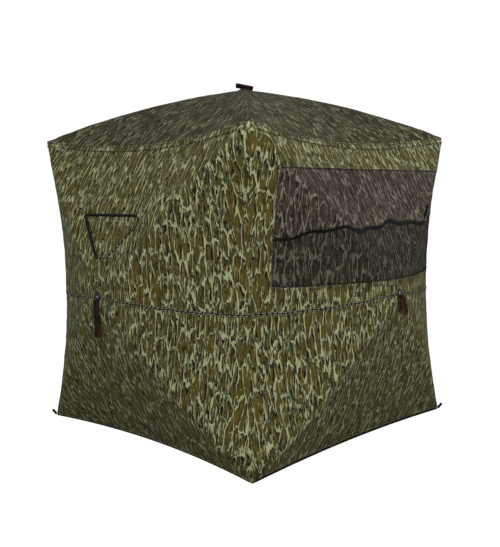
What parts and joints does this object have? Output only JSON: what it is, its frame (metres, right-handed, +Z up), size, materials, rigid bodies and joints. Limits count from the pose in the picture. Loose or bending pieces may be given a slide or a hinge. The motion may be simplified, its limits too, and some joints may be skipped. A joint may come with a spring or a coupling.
{
  "type": "pop up ground blind",
  "caption": "Cube-shaped camouflage hunting blind whose walls and roof pop out on hubs with bent poles, with zipped windows and a door.",
  "frame": {"origin": "on the ground, under the middle of the blind", "axes": "+Z up; -Y towards the front wall, which has the wide window; -X towards the left wall, which has the three-cornered window"},
  "size_m": [1.9532, 1.9532, 1.765],
  "materials": {
    "skin": "matte",
    "window_mesh": "matte",
    "webbing": "matte",
    "moulding": "satin",
    "fibreglass": "satin",
    "slider_metal": "satin"
  },
  "bodies": {
    "root": {"edge_bands": "skin", "bottom_hem": "skin", "corner_sockets": "moulding", "stake_loops": "webbing"},
    "front_hub": {"front_hub": "moulding"},
    "front_right_panel": {"front_right_panel": "skin"},
    "front_top_panel": {"front_top_panel": "skin"},
    "front_left_panel": {"front_left_panel": "skin"},
    "front_bottom_panel": {"front_bottom_panel": "skin"},
    "front_pole_upper_right": {"front_pole_upper_right": "fibreglass"},
    "front_pole_upper_left": {"front_pole_upper_left": "fibreglass"},
    "front_pole_lower_left": {"front_pole_lower_left": "fibreglass"},
    "front_pole_lower_right": {"front_pole_lower_right": "fibreglass"},
    "left_hub": {"left_hub": "moulding"},
    "left_right_panel": {"left_right_panel": "skin"},
    "left_top_panel": {"left_top_panel": "skin"},
    "left_left_panel": {"left_left_panel": "skin"},
    "left_bottom_panel": {"left_bottom_panel": "skin"},
    "left_pole_upper_right": {"left_pole_upper_right": "fibreglass"},
    "left_pole_upper_left": {"left_pole_upper_left": "fibreglass"},
    "left_pole_lower_left": {"left_pole_lower_left": "fibreglass"},
    "left_pole_lower_right": {"left_pole_lower_right": "fibreglass"},
    "back_hub": {"back_hub": "moulding"},
    "back_right_panel": {"back_right_panel": "skin"},
    "back_top_panel": {"back_top_panel": "skin"},
    "back_left_panel": {"back_left_panel": "skin"},
    "back_bottom_panel": {"back_bottom_panel": "skin"},
    "back_pole_upper_right": {"back_pole_upper_right": "fibreglass"},
    "back_pole_upper_left": {"back_pole_upper_left": "fibreglass"},
    "back_pole_lower_left": {"back_pole_lower_left": "fibreglass"},
    "back_pole_lower_right": {"back_pole_lower_right": "fibreglass"},
    "right_hub": {"right_hub": "moulding"},
    "right_right_panel": {"right_right_panel": "skin"},
    "right_top_panel": {"right_top_panel": "skin"},
    "right_left_panel": {"right_left_panel": "skin"},
    "right_bottom_panel": {"right_bottom_panel": "skin"},
    "right_pole_upper_right": {"right_pole_upper_right": "fibreglass"},
    "right_pole_upper_left": {"right_pole_upper_left": "fibreglass"},
    "right_pole_lower_left": {"right_pole_lower_left": "fibreglass"},
    "right_pole_lower_right": {"right_pole_lower_right": "fibreglass"},
    "roof_hub": {"roof_hub": "moulding"},
    "roof_right_panel": {"roof_right_panel": "skin"},
    "roof_back_panel": {"roof_back_panel": "skin"},
    "roof_left_panel": {"roof_left_panel": "skin"},
    "roof_front_panel": {"roof_front_panel": "skin"},
    "roof_pole_back_right": {"roof_pole_back_right": "fibreglass"},
    "roof_pole_back_left": {"roof_pole_back_left": "fibreglass"},
    "roof_pole_front_left": {"roof_pole_front_left": "fibreglass"},
    "roof_pole_front_right": {"roof_pole_front_right": "fibreglass"},
    "front_pull_strap": {"front_pull_strap": "webbing"},
    "left_pull_strap": {"left_pull_strap": "webbing"},
    "back_pull_strap": {"back_pull_strap": "webbing"},
    "right_pull_strap": {"right_pull_strap": "webbing"},
    "roof_pull_strap": {"roof_pull_strap": "webbing"},
    "front_window_cover_top": {"front_window_cover_top": "window_mesh"},
    "front_window_cover_left": {"front_window_cover_left": "window_mesh"},
    "front_window_cover_right": {"front_window_cover_right": "window_mesh"},
    "side_window_flap": {"side_window_flap": "skin"},
    "door_leaf": {"door_leaf": "skin"},
    "door_zip_slider": {"door_zip_slider": "slider_metal"}
  },
  "joints": [
    {"name": "front_hub_pop", "type": "slide", "parent": "root", "child": "front_hub", "axis": [0, -1, 0], "range_m": [-0.445, 0]},
    {"name": "front_right_panel_hinge", "type": "hinge", "parent": "root", "child": "front_right_panel", "pos_m": [0.7365, -0.7365, 0.7365], "axis": [0, 0, -1], "range_deg": [0, 33.63]},
    {"name": "front_top_panel_hinge", "type": "hinge", "parent": "root", "child": "front_top_panel", "pos_m": [0, -0.7365, 1.473], "axis": [1, 0, 0], "range_deg": [0, 33.63]},
    {"name": "front_left_panel_hinge", "type": "hinge", "parent": "root", "child": "front_left_panel", "pos_m": [-0.7365, -0.7365, 0.7365], "axis": [0, 0, 1], "range_deg": [0, 33.63]},
    {"name": "front_bottom_panel_hinge", "type": "hinge", "parent": "root", "child": "front_bottom_panel", "pos_m": [0, -0.7365, 0], "axis": [-1, 0, 0], "range_deg": [0, 33.63]},
    {"name": "front_pole_upper_right_hinge", "type": "hinge", "parent": "root", "child": "front_pole_upper_right", "pos_m": [0.687, -0.707, 1.4235], "axis": [0.7071, 0, -0.7071], "range_deg": [0, 27.04]},
    {"name": "front_pole_upper_left_hinge", "type": "hinge", "parent": "root", "child": "front_pole_upper_left", "pos_m": [-0.687, -0.707, 1.4235], "axis": [0.7071, 0, 0.7071], "range_deg": [0, 27.04]},
    {"name": "front_pole_lower_left_hinge", "type": "hinge", "parent": "root", "child": "front_pole_lower_left", "pos_m": [-0.687, -0.707, 0.0495], "axis": [-0.7071, 0, 0.7071], "range_deg": [0, 27.04]},
    {"name": "front_pole_lower_right_hinge", "type": "hinge", "parent": "root", "child": "front_pole_lower_right", "pos_m": [0.687, -0.707, 0.0495], "axis": [-0.7071, 0, -0.7071], "range_deg": [0, 27.04]},
    {"name": "left_hub_pop", "type": "slide", "parent": "root", "child": "left_hub", "axis": [-1, 0, 0], "range_m": [-0.445, 0]},
    {"name": "left_right_panel_hinge", "type": "hinge", "parent": "root", "child": "left_right_panel", "pos_m": [-0.7365, -0.7365, 0.7365], "axis": [0, 0, -1], "range_deg": [0, 33.63]},
    {"name": "left_top_panel_hinge", "type": "hinge", "parent": "root", "child": "left_top_panel", "pos_m": [-0.7365, 0, 1.473], "axis": [0, -1, 0], "range_deg": [0, 33.63]},
    {"name": "left_left_panel_hinge", "type": "hinge", "parent": "root", "child": "left_left_panel", "pos_m": [-0.7365, 0.7365, 0.7365], "axis": [0, 0, 1], "range_deg": [0, 33.63]},
    {"name": "left_bottom_panel_hinge", "type": "hinge", "parent": "root", "child": "left_bottom_panel", "pos_m": [-0.7365, 0, 0], "axis": [0, 1, 0], "range_deg": [0, 33.63]},
    {"name": "left_pole_upper_right_hinge", "type": "hinge", "parent": "root", "child": "left_pole_upper_right", "pos_m": [-0.707, -0.687, 1.4235], "axis": [0, -0.7071, -0.7071], "range_deg": [0, 27.04]},
    {"name": "left_pole_upper_left_hinge", "type": "hinge", "parent": "root", "child": "left_pole_upper_left", "pos_m": [-0.707, 0.687, 1.4235], "axis": [0, -0.7071, 0.7071], "range_deg": [0, 27.04]},
    {"name": "left_pole_lower_left_hinge", "type": "hinge", "parent": "root", "child": "left_pole_lower_left", "pos_m": [-0.707, 0.687, 0.0495], "axis": [0, 0.7071, 0.7071], "range_deg": [0, 27.04]},
    {"name": "left_pole_lower_right_hinge", "type": "hinge", "parent": "root", "child": "left_pole_lower_right", "pos_m": [-0.707, -0.687, 0.0495], "axis": [0, 0.7071, -0.7071], "range_deg": [0, 27.04]},
    {"name": "back_hub_pop", "type": "slide", "parent": "root", "child": "back_hub", "axis": [0, 1, 0], "range_m": [-0.445, 0]},
    {"name": "back_right_panel_hinge", "type": "hinge", "parent": "root", "child": "back_right_panel", "pos_m": [-0.7365, 0.7365, 0.7365], "axis": [0, 0, -1], "range_deg": [0, 33.63]},
    {"name": "back_top_panel_hinge", "type": "hinge", "parent": "root", "child": "back_top_panel", "pos_m": [0, 0.7365, 1.473], "axis": [-1, 0, 0], "range_deg": [0, 33.63]},
    {"name": "back_left_panel_hinge", "type": "hinge", "parent": "root", "child": "back_left_panel", "pos_m": [0.7365, 0.7365, 0.7365], "axis": [0, 0, 1], "range_deg": [0, 33.63]},
    {"name": "back_bottom_panel_hinge", "type": "hinge", "parent": "root", "child": "back_bottom_panel", "pos_m": [0, 0.7365, 0], "axis": [1, 0, 0], "range_deg": [0, 33.63]},
    {"name": "back_pole_upper_right_hinge", "type": "hinge", "parent": "root", "child": "back_pole_upper_right", "pos_m": [-0.687, 0.707, 1.4235], "axis": [-0.7071, 0, -0.7071], "range_deg": [0, 27.04]},
    {"name": "back_pole_upper_left_hinge", "type": "hinge", "parent": "root", "child": "back_pole_upper_left", "pos_m": [0.687, 0.707, 1.4235], "axis": [-0.7071, 0, 0.7071], "range_deg": [0, 27.04]},
    {"name": "back_pole_lower_left_hinge", "type": "hinge", "parent": "root", "child": "back_pole_lower_left", "pos_m": [0.687, 0.707, 0.0495], "axis": [0.7071, 0, 0.7071], "range_deg": [0, 27.04]},
    {"name": "back_pole_lower_right_hinge", "type": "hinge", "parent": "root", "child": "back_pole_lower_right", "pos_m": [-0.687, 0.707, 0.0495], "axis": [0.7071, 0, -0.7071], "range_deg": [0, 27.04]},
    {"name": "right_hub_pop", "type": "slide", "parent": "root", "child": "right_hub", "axis": [1, 0, 0], "range_m": [-0.445, 0]},
    {"name": "right_right_panel_hinge", "type": "hinge", "parent": "root", "child": "right_right_panel", "pos_m": [0.7365, 0.7365, 0.7365], "axis": [0, 0, -1], "range_deg": [0, 33.63]},
    {"name": "right_top_panel_hinge", "type": "hinge", "parent": "root", "child": "right_top_panel", "pos_m": [0.7365, 0, 1.473], "axis": [0, 1, 0], "range_deg": [0, 33.63]},
    {"name": "right_left_panel_hinge", "type": "hinge", "parent": "root", "child": "right_left_panel", "pos_m": [0.7365, -0.7365, 0.7365], "axis": [0, 0, 1], "range_deg": [0, 33.63]},
    {"name": "right_bottom_panel_hinge", "type": "hinge", "parent": "root", "child": "right_bottom_panel", "pos_m": [0.7365, 0, 0], "axis": [0, -1, 0], "range_deg": [0, 33.63]},
    {"name": "right_pole_upper_right_hinge", "type": "hinge", "parent": "root", "child": "right_pole_upper_right", "pos_m": [0.707, 0.687, 1.4235], "axis": [0, 0.7071, -0.7071], "range_deg": [0, 27.04]},
    {"name": "right_pole_upper_left_hinge", "type": "hinge", "parent": "root", "child": "right_pole_upper_left", "pos_m": [0.707, -0.687, 1.4235], "axis": [0, 0.7071, 0.7071], "range_deg": [0, 27.04]},
    {"name": "right_pole_lower_left_hinge", "type": "hinge", "parent": "root", "child": "right_pole_lower_left", "pos_m": [0.707, -0.687, 0.0495], "axis": [0, -0.7071, 0.7071], "range_deg": [0, 27.04]},
    {"name": "right_pole_lower_right_hinge", "type": "hinge", "parent": "root", "child": "right_pole_lower_right", "pos_m": [0.707, 0.687, 0.0495], "axis": [0, -0.7071, -0.7071], "range_deg": [0, 27.04]},
    {"name": "roof_hub_pop", "type": "slide", "parent": "root", "child": "roof_hub", "axis": [0, 0, 1], "range_m": [-0.516, 0]},
    {"name": "roof_right_panel_hinge", "type": "hinge", "parent": "root", "child": "roof_right_panel", "pos_m": [0.7365, 0, 1.473], "axis": [0, -1, 0], "range_deg": [0, 38.62]},
    {"name": "roof_back_panel_hinge", "type": "hinge", "parent": "root", "child": "roof_back_panel", "pos_m": [0, 0.7365, 1.473], "axis": [1, 0, 0], "range_deg": [0, 38.62]},
    {"name": "roof_left_panel_hinge", "type": "hinge", "parent": "root", "child": "roof_left_panel", "pos_m": [-0.7365, 0, 1.473], "axis": [0, 1, 0], "range_deg": [0, 38.62]},
    {"name": "roof_front_panel_hinge", "type": "hinge", "parent": "root", "child": "roof_front_panel", "pos_m": [0, -0.7365, 1.473], "axis": [-1, 0, 0], "range_deg": [0, 38.62]},
    {"name": "roof_pole_back_right_hinge", "type": "hinge", "parent": "root", "child": "roof_pole_back_right", "pos_m": [0.687, 0.687, 1.4435], "axis": [0.7071, -0.7071, 0], "range_deg": [0, 31.16]},
    {"name": "roof_pole_back_left_hinge", "type": "hinge", "parent": "root", "child": "roof_pole_back_left", "pos_m": [-0.687, 0.687, 1.4435], "axis": [0.7071, 0.7071, 0], "range_deg": [0, 31.16]},
    {"name": "roof_pole_front_left_hinge", "type": "hinge", "parent": "root", "child": "roof_pole_front_left", "pos_m": [-0.687, -0.687, 1.4435], "axis": [-0.7071, 0.7071, 0], "range_deg": [0, 31.16]},
    {"name": "roof_pole_front_right_hinge", "type": "hinge", "parent": "root", "child": "roof_pole_front_right", "pos_m": [0.687, -0.687, 1.4435], "axis": [-0.7071, -0.7071, 0], "range_deg": [0, 31.16]},
    {"name": "front_strap_lift", "type": "hinge", "parent": "front_bottom_panel", "child": "front_pull_strap", "pos_m": [0.00488, -0.965, 0.72554], "axis": [-0.9135, 0, -0.4067], "range_deg": [0, 100]},
    {"name": "left_strap_lift", "type": "hinge", "parent": "left_bottom_panel", "child": "left_pull_strap", "pos_m": [-0.965, 0, 0.7245], "axis": [0, 1, 0], "range_deg": [0, 100]},
    {"name": "back_strap_lift", "type": "hinge", "parent": "back_bottom_panel", "child": "back_pull_strap", "pos_m": [0, 0.965, 0.7245], "axis": [1, 0, 0], "range_deg": [0, 100]},
    {"name": "right_strap_lift", "type": "hinge", "parent": "right_bottom_panel", "child": "right_pull_strap", "pos_m": [0.965, 0, 0.7245], "axis": [0, -1, 0], "range_deg": [0, 100]},
    {"name": "roof_strap_tip", "type": "hinge", "parent": "roof_hub", "child": "roof_pull_strap", "pos_m": [0, 0, 1.735], "axis": [0.7071, -0.7071, 0], "range_deg": [-60, 60], "stiffness_Nm_per_rad": 0.03},
    {"name": "front_window_cover_top_fold", "type": "hinge", "parent": "front_top_panel", "child": "front_window_cover_top", "pos_m": [0, -0.94481, 0.8025], "axis": [-1, 0, 0], "range_deg": [0, 85]},
    {"name": "front_window_cover_left_fold", "type": "hinge", "parent": "front_left_panel", "child": "front_window_cover_left", "pos_m": [-0.3775, -0.83882, 0.8025], "axis": [-0.9341, 0.357, 0], "range_deg": [0, 85]},
    {"name": "front_window_cover_right_fold", "type": "hinge", "parent": "front_right_panel", "child": "front_window_cover_right", "pos_m": [0.3775, -0.83882, 0.8025], "axis": [-0.9341, -0.357, 0], "range_deg": [0, 85]},
    {"name": "side_window_flap_fold", "type": "hinge", "parent": "left_top_panel", "child": "side_window_flap", "pos_m": [-0.92665, 0.006, 0.9015], "axis": [-0.02, 0.9963, -0.083], "range_deg": [0, 140]},
    {"name": "door_swing", "type": "hinge", "parent": "back_right_panel", "child": "door_leaf", "pos_m": [-0.621, 0.76989, 0.7365], "axis": [0, 0, 1], "range_deg": [0, 95]},
    {"name": "door_zip_slide", "type": "slide", "parent": "back_right_panel", "child": "door_zip_slider", "axis": [0.6971, 0.2313, -0.6787], "range_m": [0, 0.2988]}
  ],
  "couplings": [
    {"joint": "front_right_panel_hinge", "follows": "front_hub_pop", "rad_per_m": -1.3186},
    {"joint": "front_top_panel_hinge", "follows": "front_hub_pop", "rad_per_m": -1.3186},
    {"joint": "front_left_panel_hinge", "follows": "front_hub_pop", "rad_per_m": -1.3186},
    {"joint": "front_bottom_panel_hinge", "follows": "front_hub_pop", "rad_per_m": -1.3186},
    {"joint": "front_pole_upper_right_hinge", "follows": "front_hub_pop", "rad_per_m": -1.0603},
    {"joint": "front_pole_upper_left_hinge", "follows": "front_hub_pop", "rad_per_m": -1.0603},
    {"joint": "front_pole_lower_left_hinge", "follows": "front_hub_pop", "rad_per_m": -1.0603},
    {"joint": "front_pole_lower_right_hinge", "follows": "front_hub_pop", "rad_per_m": -1.0603},
    {"joint": "left_right_panel_hinge", "follows": "left_hub_pop", "rad_per_m": -1.3186},
    {"joint": "left_top_panel_hinge", "follows": "left_hub_pop", "rad_per_m": -1.3186},
    {"joint": "left_left_panel_hinge", "follows": "left_hub_pop", "rad_per_m": -1.3186},
    {"joint": "left_bottom_panel_hinge", "follows": "left_hub_pop", "rad_per_m": -1.3186},
    {"joint": "left_pole_upper_right_hinge", "follows": "left_hub_pop", "rad_per_m": -1.0603},
    {"joint": "left_pole_upper_left_hinge", "follows": "left_hub_pop", "rad_per_m": -1.0603},
    {"joint": "left_pole_lower_left_hinge", "follows": "left_hub_pop", "rad_per_m": -1.0603},
    {"joint": "left_pole_lower_right_hinge", "follows": "left_hub_pop", "rad_per_m": -1.0603},
    {"joint": "back_right_panel_hinge", "follows": "back_hub_pop", "rad_per_m": -1.3186},
    {"joint": "back_top_panel_hinge", "follows": "back_hub_pop", "rad_per_m": -1.3186},
    {"joint": "back_left_panel_hinge", "follows": "back_hub_pop", "rad_per_m": -1.3186},
    {"joint": "back_bottom_panel_hinge", "follows": "back_hub_pop", "rad_per_m": -1.3186},
    {"joint": "back_pole_upper_right_hinge", "follows": "back_hub_pop", "rad_per_m": -1.0603},
    {"joint": "back_pole_upper_left_hinge", "follows": "back_hub_pop", "rad_per_m": -1.0603},
    {"joint": "back_pole_lower_left_hinge", "follows": "back_hub_pop", "rad_per_m": -1.0603},
    {"joint": "back_pole_lower_right_hinge", "follows": "back_hub_pop", "rad_per_m": -1.0603},
    {"joint": "right_right_panel_hinge", "follows": "right_hub_pop", "rad_per_m": -1.3186},
    {"joint": "right_top_panel_hinge", "follows": "right_hub_pop", "rad_per_m": -1.3186},
    {"joint": "right_left_panel_hinge", "follows": "right_hub_pop", "rad_per_m": -1.3186},
    {"joint": "right_bottom_panel_hinge", "follows": "right_hub_pop", "rad_per_m": -1.3186},
    {"joint": "right_pole_upper_right_hinge", "follows": "right_hub_pop", "rad_per_m": -1.0603},
    {"joint": "right_pole_upper_left_hinge", "follows": "right_hub_pop", "rad_per_m": -1.0603},
    {"joint": "right_pole_lower_left_hinge", "follows": "right_hub_pop", "rad_per_m": -1.0603},
    {"joint": "right_pole_lower_right_hinge", "follows": "right_hub_pop", "rad_per_m": -1.0603},
    {"joint": "roof_right_panel_hinge", "follows": "roof_hub_pop", "rad_per_m": -1.306},
    {"joint": "roof_back_panel_hinge", "follows": "roof_hub_pop", "rad_per_m": -1.306},
    {"joint": "roof_left_panel_hinge", "follows": "roof_hub_pop", "rad_per_m": -1.306},
    {"joint": "roof_front_panel_hinge", "follows": "roof_hub_pop", "rad_per_m": -1.306},
    {"joint": "roof_pole_back_right_hinge", "follows": "roof_hub_pop", "rad_per_m": -1.0537},
    {"joint": "roof_pole_back_left_hinge", "follows": "roof_hub_pop", "rad_per_m": -1.0537},
    {"joint": "roof_pole_front_left_hinge", "follows": "roof_hub_pop", "rad_per_m": -1.0537},
    {"joint": "roof_pole_front_right_hinge", "follows": "roof_hub_pop", "rad_per_m": -1.0537},
    {"joint": "front_window_cover_left_fold", "follows": "front_window_cover_top_fold", "ratio": 1},
    {"joint": "front_window_cover_right_fold", "follows": "front_window_cover_top_fold", "ratio": 1}
  ]
}
